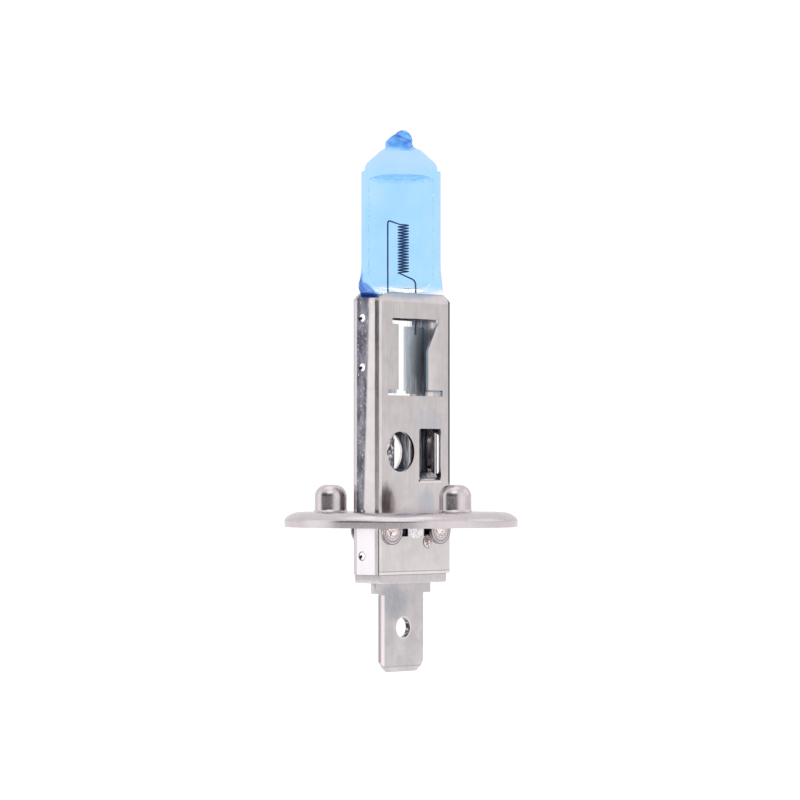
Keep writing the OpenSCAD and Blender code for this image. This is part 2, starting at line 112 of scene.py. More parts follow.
# ---------------------------------------------------------------- places on the metal, in millimetres
# a pair of limits is where a mask starts and where it is full
NARROW_X = (6.5, 6.6)
REAR_SIDE_X = (6.2, 6.3)
REAR_LIP_Y = (1.2, 1.26)
FRONT_Y = (-2.3, -2.45)
FOOT_Z = (-4.6, -5.2)           # below the flange
LIP_Z = (22.5, 23.0)            # the curled top of the front shell
DIMPLE_Y = 0.3
DIMPLE_Z = (20.6, 14.5, -3.5, -8.8)
BLADE_TOP_Z = (-13.6, -13.8)
BLADE_HALF_W = 3.93
BLADE_HOLE = (0.0, -17.8)
BLADE_HOLE_R = 1.24
WELD_X = 4.4
WELD_Z = -5.3
SMALL_WELD = (2.15, -7.1)
LUG_Z = -5.6
LUG_R = 1.8

# stains on the front wall, and a painted reflection: middle and half size in X and Z, strength, colour
BURN = ((-5.2, -2.3), (1.4, 2.6), 0.95, (0.10, 0.075, 0.06))
HEAT_BLUE = ((2.0, -2.1), (1.7, 1.9), 0.45, (0.34, 0.38, 0.50))
# painted bluish reflection above the rectangular window on the front wall
BLUISH_REFLECTION = ((2.4, 7.9), (3.4, 1.6), 0.3, (0.42, 0.46, 0.58))

# ---------------------------------------------------------------- camera
VIEW_DEG = 47
CAMERA_MM = 387
CAMERA_LEFT_MM = 0.125
EYE_Z = 0.6
LENS = 139.5
SENSOR = 36
SHIFT_UP = 0.1

# ---------------------------------------------------------------- studio
SKY_STRENGTH = 1.3
SKY_PALE = 0.95
SKY_BEHIND_GLASS = (0.8, 0.8, 0.8)
# brightness round the horizon: 0 and 1 are behind the part, 0.5 is the camera's side
PANELS = [
    (0.0, 0.9), (0.18, 0.95), (0.22, 1.3), (0.285, 1.3), (0.31, 0.12), (0.36, 0.03), (0.53, 0.05),
    (0.56, 0.9), (0.60, 1.2), (0.69, 1.15), (0.74, 0.84), (0.80, 0.78), (0.92, 0.85), (1.0, 0.9)
]
# name, place in metres, size, power
LAMPS = (
    ("key", (-0.5, -0.35, 0.55), 0.5, 0.6),
    ("fill", (0.55, -0.35, 0.35), 0.5, 0.3),
    ("top", (0.0, 0.1, 0.8), 0.6, 0.6)
)
FLOOR_Z = -60
FLOOR_HALF_M = 3


def make_camera():
    a = math.radians(VIEW_DEG)
    towards = Vector((math.sin(a), math.cos(a), 0))
    left = Vector((-math.cos(a), math.sin(a), 0))
    data = bpy.data.cameras.new("camera")
    data.lens = LENS
    data.sensor_width = SENSOR
    data.shift_y = SHIFT_UP
    data.clip_start = 0.01
    data.clip_end = 20
    camera = bpy.data.objects.new("camera", data)
    camera.location = Vector((0, 0, EYE_Z * MM)) - towards * CAMERA_MM * MM + left * CAMERA_LEFT_MM * MM
    camera.rotation_mode = "QUATERNION"
    camera.rotation_quaternion = towards.to_track_quat("-Z", "Y")
    bpy.context.scene.collection.objects.link(camera)
    bpy.context.scene.camera = camera


# ---------------------------------------------------------------- node helpers
def new_tree(name):
    material = bpy.data.materials.new(name)
    material.use_nodes = True
    tree = material.node_tree
    return material, tree, tree.nodes["Principled BSDF"]


def math_node(tree, operation, a, b=None):
    node = tree.nodes.new("ShaderNodeMath")
    node.operation = operation
    for i, value in enumerate((a, b)):
        if value is None:
            continue
        if isinstance(value, (int, float)):
            node.inputs[i].default_value = value
        else:
            tree.links.new(value, node.inputs[i])
    return node.outputs[0]


def plus(tree, a, b):
    return math_node(tree, "ADD", a, b)


def minus(tree, a, b):
    return math_node(tree, "SUBTRACT", a, b)


def absolute(tree, a):
    return math_node(tree, "ABSOLUTE", a)


def product(tree, *factors):
    out = factors[0]
    for factor in factors[1:]:
        out = math_node(tree, "MULTIPLY", out, factor)
    return out


def squares(tree, a, b):
    return plus(tree, math_node(tree, "POWER", a, 2), math_node(tree, "POWER", b, 2))


def ramp(tree, source, stops):
    node = tree.nodes.new("ShaderNodeValToRGB")
    elements = node.color_ramp.elements
    while len(elements) < len(stops):
        elements.new(0.5)
    for element, (place, colour) in zip(elements, stops):
        element.position = place
        element.color = (*colour, 1)
    tree.links.new(source, node.inputs[0])
    return node.outputs[0]


def object_point(tree):
    """The point on the surface, in metres from the bulb's origin."""
    return tree.nodes.new("ShaderNodeTexCoord").outputs["Object"]


def axes_of(tree, point):
    node = tree.nodes.new("ShaderNodeSeparateXYZ")
    tree.links.new(point, node.inputs[0])
    return node.outputs


def scaled(tree, point, scale):
    node = tree.nodes.new("ShaderNodeMapping")
    node.inputs["Scale"].default_value = scale
    tree.links.new(point, node.inputs["Vector"])
    return node.outputs[0]


def drawn_out(tree, point, z_scale):
    """The point squashed along Z, which draws a texture out along the bulb."""
    return scaled(tree, point, (1, 1, z_scale))


def noise_at(tree, point, scale, detail=3.0, rough=0.55, distortion=0.0):
    node = tree.nodes.new("ShaderNodeTexNoise")
    node.inputs["Scale"].default_value = scale
    node.inputs["Detail"].default_value = detail
    node.inputs["Roughness"].default_value = rough
    node.inputs["Distortion"].default_value = distortion
    tree.links.new(point, node.inputs["Vector"])
    return node.outputs[0]


def map_range(tree, source, low, high, to_low=0.0, to_high=1.0, smooth=True):
    node = tree.nodes.new("ShaderNodeMapRange")
    node.interpolation_type = "SMOOTHSTEP" if smooth else "LINEAR"
    node.inputs["From Min"].default_value = low
    node.inputs["From Max"].default_value = high
    node.inputs["To Min"].default_value = to_low
    node.inputs["To Max"].default_value = to_high
    tree.links.new(source, node.inputs["Value"])
    return node.outputs[0]


def bump(tree, bsdf, height, strength, depth):
    node = tree.nodes.new("ShaderNodeBump")
    node.inputs["Strength"].default_value = strength
    node.inputs["Distance"].default_value = depth
    tree.links.new(height, node.inputs["Height"])
    tree.links.new(node.outputs[0], bsdf.inputs["Normal"])


def mix_colour(tree, factor, a, b):
    node = tree.nodes.new("ShaderNodeMix")
    node.data_type = "RGBA"
    for socket, value in ((node.inputs[0], factor), (node.inputs[6], a), (node.inputs[7], b)):
        if isinstance(value, tuple):
            socket.default_value = (*value, 1)
        else:
            tree.links.new(value, socket)
    return node.outputs[2]


def paint(tree, under, mask, colour, strength=1):
    """Lays a colour over another where a mask is 1."""
    return mix_colour(tree, mask if strength == 1 else product(tree, mask, strength), under, colour)


# ---------------------------------------------------------------- masks, with limits in millimetres
def rise(tree, value, start, full):
    """From 0 at the start to 1 at the full mark, which may be the lower of the two."""
    return map_range(tree, value, start * MM, full * MM)


def between(tree, value, low, high, soft):
    """1 where a value lies between two limits, with soft ends."""
    fall = map_range(tree, value, (high - soft) * MM, (high + soft) * MM, 1.0, 0.0)
    return product(tree, rise(tree, value, low - soft, low + soft), fall)


def distance(tree, a, b, centre):
    """How far a point is from a centre, measured along two axes."""
    square = squares(tree, minus(tree, a, centre[0] * MM), minus(tree, b, centre[1] * MM))
    return math_node(tree, "SQRT", square)


def dot(tree, a, b, centre, radius, soft=0.05):
    """1 inside a small circle."""
    far = distance(tree, a, b, centre)
    return map_range(tree, far, (radius - soft) * MM, (radius + soft) * MM, 1.0, 0.0)


def circles(tree, far, radii, width):
    """1 on thin circles of these radii."""
    out = None
    for radius in radii:
        fall = map_range(tree, far, radius * MM, (radius + width) * MM, 1.0, 0.0)
        circle = product(tree, rise(tree, far, radius - width, radius), fall)
        out = circle if out is None else math_node(tree, "MAXIMUM", out, circle)
    return out


def wobble(tree, texture, reach):
    """A texture as a shift of up to this reach either way."""
    return map_range(tree, texture, 0.3, 0.7, -reach * MM, reach * MM, smooth=False)


def blot(tree, x, z, centre, half, texture):
    """A patch on a wide face, used for stains and for a painted reflection, that fades out from its middle, broken up
    by a texture.
    """
    dx = product(tree, minus(tree, x, centre[0] * MM), 1 / (half[0] * MM))
    dz = product(tree, minus(tree, z, centre[1] * MM), 1 / (half[1] * MM))
    ragged = plus(tree, squares(tree, dx, dz), map_range(tree, texture, 0.3, 0.7, -0.5, 0.5, smooth=False))
    return product(tree, map_range(tree, ragged, 0.0, 1.2, 1.0, 0.0), map_range(tree, texture, 0.3, 0.6, 0.45, 1.0))


# ---------------------------------------------------------------- steel
def rolled_steel(name, light, dark, roughness, grain=(1, 1, 0.03), mottling=0.5):
    """Bright sheet steel with a fine grain along Z, faint stains and a rough patchiness."""
    material, tree, bsdf = new_tree(name)
    point = object_point(tree)
    fine = noise_at(tree, scaled(tree, point, grain), 9000, 4, 0.6)
    broad = noise_at(tree, point, 420, 5, 0.6, 0.6)
    stain_and_reflection = noise_at(tree, drawn_out(tree, point, 0.35), 1300, 4, 0.65)
    tone = plus(tree, product(tree, broad, mottling), product(tree, fine, 1 - mottling))
    colour = ramp(tree, tone, [(0.3, dark), (0.7, light)])
    tree.links.new(colour, bsdf.inputs["Base Color"])
    spread = plus(tree, product(tree, fine, 0.08), product(tree, stain_and_reflection, 0.12))
    tree.links.new(plus(tree, spread, roughness - 0.1), bsdf.inputs["Roughness"])
    bsdf.inputs["Metallic"].default_value = 1.0
    relief = plus(tree, product(tree, fine, 0.6), product(tree, stain_and_reflection, 0.8))
    bump(tree, bsdf, relief, 0.2, 0.00002)
    return material, tree, bsdf, point, colour


def narrow_side_tint(tree, tint, x, y, z, speck, patch):
    """The holder's narrow sides: a painted dark reflection band with a slanting edge, painted shade on the rear lip, a
    painted pale reflection below the flange, a painted dark reflection at the left front corner and painted shade and
    highlight on the dimples.
    """
    across = absolute(tree, x)
    narrow = rise(tree, across, *NARROW_X)
    # painted dark reflection: a mottled band down the narrow sides, with a slanting edge
    shore_y = map_range(tree, z, -3 * MM, 21 * MM, 0.0, -0.9 * MM, smooth=False)
    stain_and_reflection = product(
        tree, narrow, rise(tree, minus(tree, y, shore_y), -0.25, 0.2), rise(tree, y, 1.2, 1.14),
        rise(tree, z, -4.2, -3.6), map_range(tree, speck, 0.66, 0.58)
    )
    dark = ramp(tree, patch, [(0.38, (0.05, 0.052, 0.075)), (0.62, (0.21, 0.21, 0.255))])
    tint = paint(tree, tint, stain_and_reflection, dark, 0.93)
    # painted shade: the rear shell's edge on the narrow sides is darkened
    rear_lip_shade = product(tree, rise(tree, across, *REAR_SIDE_X), rise(tree, y, *REAR_LIP_Y))
    tint = paint(tree, tint, rear_lip_shade, (0.52, 0.485, 0.52), 0.6)
    # painted pale reflection on the narrow sides below the flange
    foot = rise(tree, z, *FOOT_Z)
    tint = paint(tree, tint, product(tree, narrow, foot), (0.98, 0.94, 0.99), 0.5)
    # painted dark reflection along the left front corner's bend, below the flange
    crease_reflection = product(tree, between(tree, x, -6.56, -6.48, 0.03), rise(tree, y, -2.0, -2.1), foot)
    tint = paint(tree, tint, crease_reflection, (0.05, 0.045, 0.06), 0.9)
    # painted shade and highlight on each dimple: a dark ring, a bright disc and a dark spot at its lower left
    for dimple_z in DIMPLE_Z:
        for y_off, z_off, r, soft, colour in (
            (0, 0, 0.58, 0.05, (0.18, 0.17, 0.2)),
            (-0.03, 0, 0.47, 0.05, (0.98, 0.96, 0.98)),
            (0.24, -0.06, 0.2, 0.07, (0.02, 0.02, 0.03))
        ):
            spot = dot(tree, y, z, (DIMPLE_Y + y_off, dimple_z + z_off), r, soft)
            tint = paint(tree, tint, product(tree, narrow, spot), colour)
    return tint


def front_wall_tint(tree, tint, x, y, z, speck, patch, streaks):
    """The holder's wide front: heat stains, a painted bluish reflection, a painted shadow line at the right front
    corner, cut edges, painted shade at the left flap's fold and the weld's quilted patch.
    """
    front = rise(tree, y, *FRONT_Y)
    for (centre, half, strength, colour), texture in ((BURN, patch), (HEAT_BLUE, streaks), (BLUISH_REFLECTION, streaks)):
        stain_and_reflection = product(tree, front, blot(tree, x, z, centre, half, texture))
        tint = paint(tree, tint, stain_and_reflection, colour, strength)
    # painted shadow line in the gap along the right front corner, above z 0
    corner_shadow_line = product(tree, rise(tree, x, 5.98, 6.08), between(tree, y, -2.55, -1.75, 0.04), rise(tree, z, -0.3, 0.4))
    tint = paint(tree, tint, corner_shadow_line, (0.012, 0.012, 0.018), 0.96)
    quilted = product(
        tree, front, between(tree, x, -1.25, 1.35, 0.08), rise(tree, z, -5.1, -5.2),
        dot(tree, x, z, (0.05, -4.9), 1.75)
    )
    quilt = ramp(tree, speck, [(0.4, (0.5, 0.46, 0.48)), (0.55, (1.0, 0.97, 0.98))])
    tint = paint(tree, tint, quilted, quilt, 0.9)
    cut = product(
        tree, between(tree, y, -2.43, -2.13, 0.02), rise(tree, absolute(tree, x), 6.1, 6.0), rise(tree, z, 8.8, 8.6)
    )
    tint = paint(tree, tint, cut, (0.10, 0.095, 0.11), 0.85)
    # painted shade along the left flap's fold
    fold = product(tree, front, between(tree, x, -3.95, -3.8, 0.08), between(tree, z, 12.0, 17.2, 1.2))
    return paint(tree, tint, fold, (0.16, 0.15, 0.17), 0.6)


def inner_face_tint(tree, tint, x, y, z, streaks):
    """The holder's inner faces, at 6.35 from the middle in the front shell and 5.95 in the rear one: dark and streaky
    low down, with a painted bright reflection on the right inner face.
    """
    inner_x = map_range(tree, y, 1.1 * MM, 1.2 * MM, 6.37 * MM, 6.0 * MM, smooth=False)
    inside = product(
        tree, rise(tree, absolute(tree, y), 2.16, 2.12),
        map_range(tree, minus(tree, inner_x, absolute(tree, x)), 0.0, 0.02 * MM)
    )
    # the inner faces are dark and streaky below about 9 mm, paler grey above
    inner_colour = ramp(tree, streaks, [(0.36, (0.05, 0.055, 0.08)), (0.64, (0.5, 0.5, 0.54))])
    inner_colour = paint(tree, inner_colour, rise(tree, z, 8.8, 9.6), (0.5, 0.52, 0.57))
    # painted bright reflection on the right inner face, seen through the windows
    inner_reflection = product(tree, between(tree, y, 0.0, 0.95, 0.08), rise(tree, x, 5.8, 5.9), rise(tree, z, 0.6, 2.2))
    inner_colour = paint(tree, inner_colour, inner_reflection, (0.75, 0.66, 0.63))
    return paint(tree, tint, inside, inner_colour)


def hem_tint(tree, tint, y, z):
    """A dark line, and a painted highlight on the bright edge along the front wall's lower end."""
    front = rise(tree, y, *FRONT_Y)
    line = product(tree, front, between(tree, z, -10.76, -10.66, 0.03))
    tint = paint(tree, tint, line, (0.2, 0.17, 0.18), 0.5)
    # painted highlight along the front wall's bent lower edge
    return paint(tree, tint, product(tree, front, rise(tree, z, -10.8, -10.86)), (0.85, 0.76, 0.77), 0.6)


def holder_material():
    """The half shells' steel: a painted dark reflection on the narrow sides, stained by welding heat near the flange,
    dark inside.
    """
    material, tree, bsdf, point, colour = rolled_steel(
        "holder_steel", (0.70, 0.645, 0.655), (0.57, 0.53, 0.535), 0.2, mottling=0.65
    )
    x, y, z = axes_of(tree, point)
    speck = noise_at(tree, drawn_out(tree, point, 0.7), 3800, 5, 0.75)
    patch = noise_at(tree, drawn_out(tree, point, 0.4), 900, 4, 0.6)
    streaks = noise_at(tree, drawn_out(tree, point, 0.12), 2600, 4, 0.6)
    tint = narrow_side_tint(tree, colour, x, y, z, speck, patch)
    tint = front_wall_tint(tree, tint, x, y, z, speck, patch, streaks)
    tint = inner_face_tint(tree, tint, x, y, z, streaks)
    tree.links.new(hem_tint(tree, tint, y, z), bsdf.inputs["Base Color"])
    # the curled lip is duller than the walls
    shine = bsdf.inputs["Roughness"].links[0].from_socket
    dull = product(tree, rise(tree, z, *LIP_Z), 0.3)
    tree.links.new(plus(tree, shine, dull), bsdf.inputs["Roughness"])
    return material


def terminal_material():
    """Tinned steel, dulled and slightly blue on the blade's upper left, with painted shade where it stands inside the
    holder.
    """
    material, tree, bsdf, point, colour = rolled_steel(
        "terminal_steel", (0.58, 0.535, 0.55), (0.42, 0.40, 0.41), 0.26, mottling=0.75
    )
    x, y, z = axes_of(tree, point)
    patch = noise_at(tree, drawn_out(tree, point, 0.6), 1100, 5, 0.7)
    tint = paint(tree, colour, blot(tree, x, z, (-1.9, -14.4), (2.8, 2.6), patch), (0.24, 0.27, 0.31), 0.6)
    # the blade's left edge, with a dark line down it and a painted highlight on the bevel beside it
    blade = rise(tree, z, *BLADE_TOP_Z)
    side = product(tree, blade, rise(tree, x, -BLADE_HALF_W + 0.12, -BLADE_HALF_W + 0.04))
    tint = paint(tree, tint, side, (0.40, 0.37, 0.41))
    line = product(tree, side, between(tree, y, 0.06, 0.16, 0.04))
    tint = paint(tree, tint, line, (0.05, 0.045, 0.055), 0.85)
    bevel_highlight = product(
        tree, blade, between(tree, x, -BLADE_HALF_W + 0.1, -BLADE_HALF_W + 0.55, 0.06),
        rise(tree, y, -0.1, -0.2), rise(tree, z, -22.6, -22.3)
    )
    tint = paint(tree, tint, bevel_highlight, (0.86, 0.75, 0.76), 0.8)
    end_line = product(tree, between(tree, z, -22.66, -22.56, 0.03), rise(tree, y, -0.2, -0.3))
    tint = paint(tree, tint, end_line, (0.2, 0.19, 0.2), 0.5)
    # the hole's wall and the worn rim round it
    facets = noise_at(tree, scaled(tree, point, (0.4, 0.4, 1)), 2600, 2, 0.5)
    wall = ramp(tree, facets, [(0.42, (0.04, 0.035, 0.04)), (0.52, (0.22, 0.2, 0.2)), (0.66, (0.6, 0.56, 0.56))])
    tint = paint(tree, tint, dot(tree, x, z, BLADE_HOLE, BLADE_HOLE_R + 0.01, 0.01), wall)
    rim = product(tree, dot(tree, x, z, BLADE_HOLE, BLADE_HOLE_R + 0.17, 0.04), rise(tree, y, -0.35, -0.39))
    tint = paint(tree, tint, rim, (0.85, 0.79, 0.8), 0.5)
    # painted shade on the part that stands inside the holder
    tint = paint(tree, tint, rise(tree, z, -10.9, -10.6), (0.05, 0.06, 0.10))
    tree.links.new(tint, bsdf.inputs["Base Color"])
    return material


def flange_material():
    """The flange's steel, with dark weld rings on its lugs."""
    material, tree, bsdf, point, colour = rolled_steel(
        "flange_steel", (0.68, 0.615, 0.635), (0.55, 0.50, 0.52), 0.26, grain=(1, 1, 1), mottling=0.7
    )
    x, _, z = axes_of(tree, point)
    broad = noise_at(tree, point, 900, 3, 0.6)
    far = plus(tree, distance(tree, absolute(tree, x), z, (WELD_X, LUG_Z)), wobble(tree, broad, 0.06))
    rings = circles(tree, far, (LUG_R - 0.38, LUG_R - 0.06), 0.11)
    dark = product(tree, rings, rise(tree, z, -5.2, -5.3))
    tree.links.new(paint(tree, colour, dark, (0.07, 0.06, 0.065), 0.85), bsdf.inputs["Base Color"])
    return material


# ---------------------------------------------------------------- other materials
def weld_material():
    """Bright lumpy nuggets, pinkish, with dark rings round them."""
    material, tree, bsdf = new_tree("weld_metal")
    point = object_point(tree)
    x, _, z = axes_of(tree, point)
    lumps = noise_at(tree, point, 2600, 5, 0.65, 1.0)
    colour = ramp(tree, lumps, [(0.36, (0.16, 0.10, 0.10)), (0.46, (0.66, 0.55, 0.53)), (0.6, (1.0, 0.93, 0.92))])
    shift = wobble(tree, lumps, 0.08)
    big = plus(tree, distance(tree, absolute(tree, x), z, (WELD_X, WELD_Z)), shift)
    small = plus(tree, distance(tree, x, z, SMALL_WELD), shift)
    rings = math_node(
        tree, "MAXIMUM", circles(tree, big, (1.06, 1.3), 0.09), circles(tree, small, (0.28, 0.52, 0.78), 0.1)
    )
    tree.links.new(paint(tree, colour, rings, (0.05, 0.04, 0.045), 0.85), bsdf.inputs["Base Color"])
    bsdf.inputs["Metallic"].default_value = 1.0
    tree.links.new(map_range(tree, lumps, 0.3, 0.7, 0.2, 0.45), bsdf.inputs["Roughness"])
    bump(tree, bsdf, lumps, 0.6, 0.00015)
    return material


def crushed_material():
    """The crushed end of a lead: crinkled metal with painted shade in its folds."""
    material, tree, bsdf = new_tree("crushed_lead")
    folds = noise_at(tree, drawn_out(tree, object_point(tree), 0.8), 950, 4, 0.6, 1.6)
    # painted shade: the low parts of the folds are near black
    colour = ramp(tree, folds, [(0.4, (0.03, 0.03, 0.04)), (0.48, (0.24, 0.23, 0.25)), (0.6, (0.7, 0.68, 0.7))])
    tree.links.new(colour, bsdf.inputs["Base Color"])
    bsdf.inputs["Metallic"].default_value = 1.0
    bsdf.inputs["Roughness"].default_value = 0.3
    bump(tree, bsdf, folds, 0.8, 0.0003)
    return material


def ceramic_material():
    material, tree, bsdf = new_tree("ceramic")
    grain = noise_at(tree, object_point(tree), 2400, 5, 0.6)
    colour = ramp(tree, grain, [(0.3, (0.55, 0.515, 0.53)), (0.7, (0.66, 0.62, 0.635))])
    tree.links.new(colour, bsdf.inputs["Base Color"])
    bsdf.inputs["Roughness"].default_value = 0.42
    bump(tree, bsdf, grain, 0.2, 0.00003)
    return material


def tungsten_material():
    """Drawn wire that looks dark and blue, as it does through the coated glass."""
    material, tree, bsdf = new_tree("tungsten")
    streak = noise_at(tree, drawn_out(tree, object_point(tree), 0.1), 6000, 3)
    colour = ramp(tree, streak, [(0.3, (0.015, 0.03, 0.09)), (0.7, (0.06, 0.10, 0.26))])
    tree.links.new(colour, bsdf.inputs["Base Color"])
    bsdf.inputs["Metallic"].default_value = 1.0
    bsdf.inputs["Roughness"].default_value = 0.4
    return material


def foil_material():
    """Dull grey foil, darker away from the middle, with painted bright reflections in streaks at its foot."""
    material, tree, bsdf = new_tree("molybdenum")
    point = object_point(tree)
    x, _, z = axes_of(tree, point)
    streak = noise_at(tree, drawn_out(tree, point, 0.04), 5200, 4)
    cloud = noise_at(tree, drawn_out(tree, point, 0.5), 1100, 4, 0.6)
    # painted reflections: bright streaks at the foil's foot
    foot = product(tree, rise(tree, z, 14.5, 12), map_range(tree, streak, 0.5, 0.6))
    middle = map_range(tree, absolute(tree, x), 1.0 * MM, 4.2 * MM, 0.5, 0.2)
    shade = plus(tree, plus(tree, middle, product(tree, cloud, 0.3)), product(tree, foot, 0.4))
    colour = ramp(tree, shade, [(0.3, (0.30, 0.33, 0.38)), (0.6, (0.55, 0.60, 0.66)), (1.0, (0.95, 0.95, 0.98))])
    tree.links.new(colour, bsdf.inputs["Base Color"])
    bsdf.inputs["Metallic"].default_value = 1.0
    tree.links.new(map_range(tree, streak, 0.3, 0.7, 0.5, 0.75), bsdf.inputs["Roughness"])
    return material


def quartz_material():
    """Clear quartz with a blue coat outside: light on the tube, deep on the knob and down the pinch's edge."""
    material, tree, bsdf = new_tree("quartz")
    point = object_point(tree)
    x, y, z = axes_of(tree, point)
    coat = tree.nodes.new("ShaderNodeAttribute")
    coat.attribute_name = "coat"
    cloud = noise_at(tree, point, 230, 3, 0.5)
    fine = noise_at(tree, drawn_out(tree, point, 0.3), 900, 3, 0.6)
    depth = product(
        tree, coat.outputs["Fac"], map_range(tree, cloud, 0.3, 0.7, 0.93, 1.07),
        map_range(tree, fine, 0.3, 0.7, 0.98, 1.02)
    )
    colour = ramp(tree, depth, [
        (0.0, (1.0, 1.0, 1.0)), (0.2, (0.80, 0.88, 1.0)), (0.4, (0.40, 0.71, 1.0)), (0.62, (0.17, 0.47, 0.95)),
        (0.78, (0.08, 0.25, 0.8)), (0.9, (0.05, 0.13, 0.52)), (1.0, (0.02, 0.06, 0.34))
    ])
    # the gas space's roof, with a painted dark reflection of its edge as a broken swirl
    far = plus(tree, distance(tree, x, y, (0, 0)), wobble(tree, fine, 0.3))
    roof = product(
        tree, between(tree, z, CAVITY_TOP_Z - 0.5, CAVITY_TOP_Z + 0.2, 0.12), rise(tree, far, 4.1, 3.9)
    )
    colour = paint(tree, colour, roof, (0.45, 0.74, 0.96), 0.6)
    swirl = product(tree, roof, circles(tree, far, (1.7, 3.4), 0.22), map_range(tree, cloud, 0.42, 0.5))
    colour = paint(tree, colour, swirl, (0.03, 0.14, 0.42), 0.8)
    dome = between(tree, z, SHOULDER_Z + 0.3, CONE_TOP_Z, 0.3)
    colour = paint(tree, colour, dome, (0.50, 0.71, 0.95), 0.7)
    edge = tree.nodes.new("ShaderNodeLayerWeight").outputs["Facing"]
    colour = paint(tree, colour, map_range(tree, edge, 0.72, 0.96), (0.42, 0.52, 0.88), 0.55)
    tree.links.new(colour, bsdf.inputs["Base Color"])
    # hardly any bending, and a coat that reflects as quartz does, keep thin parts free of black patches
    for socket, value in (
        ("Transmission Weight", 1.0), ("IOR", 1.01), ("Roughness", 0.0),
        ("Coat Weight", 0.25), ("Coat IOR", 1.5), ("Coat Roughness", 0.1)
    ):
        bsdf.inputs[socket].default_value = value
    ripple = noise_at(tree, drawn_out(tree, point, 0.25), 330, 2)
    bump(tree, bsdf, ripple, 0.1, 0.0002)
    return material


# ---------------------------------------------------------------- mesh helpers
def new_object(name, mesh):
    piece = bpy.data.objects.new(name, mesh)
    bpy.context.scene.collection.objects.link(piece)
    return piece


def loft(bm, rows, flip=False):
    """Joins rings of points, in millimetres, into one closed skin."""
    rings = [[bm.verts.new(Vector(p) * MM) for p in row] for row in rows]
    n = len(rings[0])
    for low, high in zip(rings, rings[1:]):
        for k in range(n):
            face = [low[k], low[(k + 1) % n], high[(k + 1) % n], high[k]]
            bm.faces.new(face[::-1] if flip else face)
    cap(bm, rings[0], flip)
    cap(bm, rings[-1][::-1], flip)


def loft_coated(bm, rows, flip=False):
    """The same for rings of points that each carry a depth of coat."""
    coat = bm.verts.layers.float.get("coat") or bm.verts.layers.float.new("coat")
    before = len(bm.verts)
    loft(bm, [[p for p, _ in row] for row in rows], flip=flip)
    bm.verts.ensure_lookup_table()
    depths = [depth for row in rows for _, depth in row]
    depths += [rows[0][0][1], rows[-1][0][1]]
    for vert, depth in zip(bm.verts[before:], depths):
        vert[coat] = depth


def cap(bm, ring, flip):
    """Closes a ring with a fan around its centre. Its turn is that of a lower end."""
    centre = bm.verts.new(sum((v.co for v in ring), Vector()) / len(ring))
    for k in range(len(ring)):
        face = [ring[(k + 1) % len(ring)], ring[k], centre]
        bm.faces.new(face[::-1] if flip else face)


def smoothstep(low, high, value):
    t = min(1.0, max(0.0, (value - low) / (high - low)))
    return t * t * (3 - 2 * t)


def hump(value, centre, width):
    """1 at a centre, falling away like a bell."""
    return math.exp(-(((value - centre) / width) ** 2))


def lerp(a, b, t):
    return a + (b - a) * t


def smooth_rows(rows, steps):
    """Catmull-Rom through rows of numbers."""
    out = []
    for i in range(len(rows) - 1):
        p = [rows[max(i - 1, 0)], rows[i], rows[i + 1], rows[min(i + 2, len(rows) - 1)]]
        for s in range(steps):
            t = s / steps
            out.append(tuple(
                0.5 * (2 * b + (c - a) * t + (2 * a - 5 * b + 4 * c - d) * t * t + (3 * b - a - 3 * c + d) * t ** 3)
                for a, b, c, d in zip(*p)
            ))
    out.append(rows[-1])
    return out


def new_piece(name, bm, smooth_deg, material, node):
    """Turns a finished mesh into a visible piece that replaces a CAD node."""
    mesh = bpy.data.meshes.new(name)
    bm.to_mesh(mesh)
    bm.free()
    mesh.set_sharp_from_angle(angle=math.radians(smooth_deg))
    for polygon in mesh.polygons:
        polygon.use_smooth = True
    mesh.materials.append(material)
    piece = new_object(name, mesh)
    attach(piece, ROOT)
    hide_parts(node)


# ---------------------------------------------------------------- glass rings
def flat_ring(half_w, half_t, rib_t, web_cut):
    """Outline of the flat pinch, starting at the left front corner and running along the front."""
    points = []
    for k in range(FACE_POINTS):
        x = lerp(-half_w, half_w, k / FACE_POINTS)
        y = lerp(half_t, rib_t, smoothstep(*RIB_START, abs(x) / half_w))
        y -= web_cut * smoothstep(WEB_HALF_W + 0.15, WEB_HALF_W - 0.15, abs(x))
        corner = max(0.0, abs(x) - (half_w - CORNER_R)) / CORNER_R
        points.append((x, -(y - CORNER_R * (1 - math.sqrt(max(0.0, 1 - corner * corner))))))
    for k in range(SIDE_POINTS):
        points.append((half_w, lerp(-(rib_t - CORNER_R), rib_t - CORNER_R, k / SIDE_POINTS)))
    return points + [(-x, -y) for x, y in points]


def round_ring(r):
    """A circle whose points pair up with those of a flat ring."""
    start = math.radians(180 + 90 * SIDE_POINTS / (FACE_POINTS + SIDE_POINTS))
    return [
        (r * math.cos(start + 2 * math.pi * k / RING_POINTS), r * math.sin(start + 2 * math.pi * k / RING_POINTS))
        for k in range(RING_POINTS)
    ]


def raised(ring, z):
    return [(x, y, z) for x, y in ring]


def blend_ring(flat, circle, tx, ty, z):
    return [(lerp(a[0], b[0], tx), lerp(a[1], b[1], ty), z) for a, b in zip(flat, circle)]


def cup_rings(flat, circle, low_z, high_z, width_z, steps):
    """Rings of a cup that the pinching jaws close: its faces curve in to the flat like a quarter ellipse."""
    rings = []
    for i in range(steps + 1):
        a = math.radians(90) * i / steps
        z = low_z + (high_z - low_z) * (1 - math.cos(a))
        rings.append(blend_ring(flat, circle, smoothstep(*width_z, z), math.sin(a), z))
    return rings


